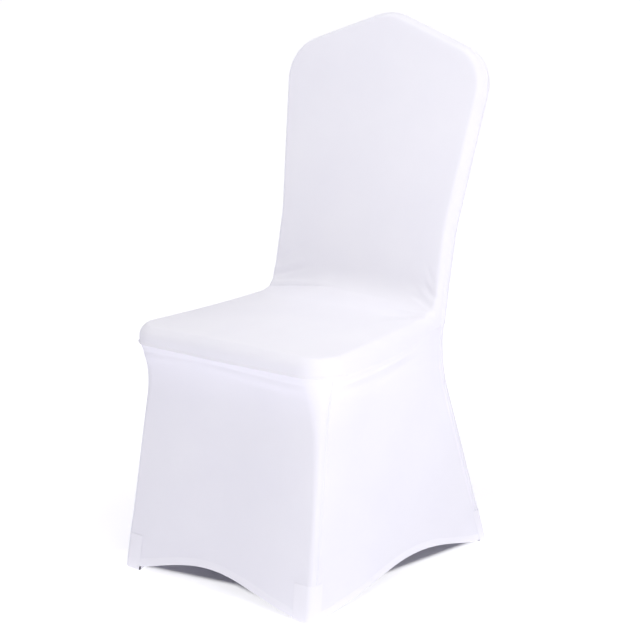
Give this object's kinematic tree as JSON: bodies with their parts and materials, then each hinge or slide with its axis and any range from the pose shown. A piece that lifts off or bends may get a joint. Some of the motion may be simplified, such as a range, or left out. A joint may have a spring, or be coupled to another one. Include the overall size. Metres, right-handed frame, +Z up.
{
  "type": "stretch chair cover",
  "caption": "Stretch knit cover for a crown-back banquet chair, hollow: seat and back panels over an arched skirt with pockets for the feet.",
  "frame": {"origin": "on the cloth's underside in the middle of the seat, where the chair's seat holds the cover up", "axes": "+Z up, the chair faces -Y, +X to the right of someone looking at its front"},
  "size_m": [0.434, 0.5269, 0.9471],
  "materials": {
    "cover_knit": "soft white stretch knit",
    "pocket_knit": "white woven-backed knit, a little denser"
  },
  "bodies": {
    "root": {"seat_and_inside_back": "cover_knit", "outside_back": "cover_knit", "skirt_front": "cover_knit", "skirt_right": "cover_knit", "skirt_left": "cover_knit", "foot_pocket_front_right": "pocket_knit", "foot_pocket_front_left": "pocket_knit", "foot_pocket_rear_right": "pocket_knit", "foot_pocket_rear_left": "pocket_knit"}
  },
  "joints": []
}
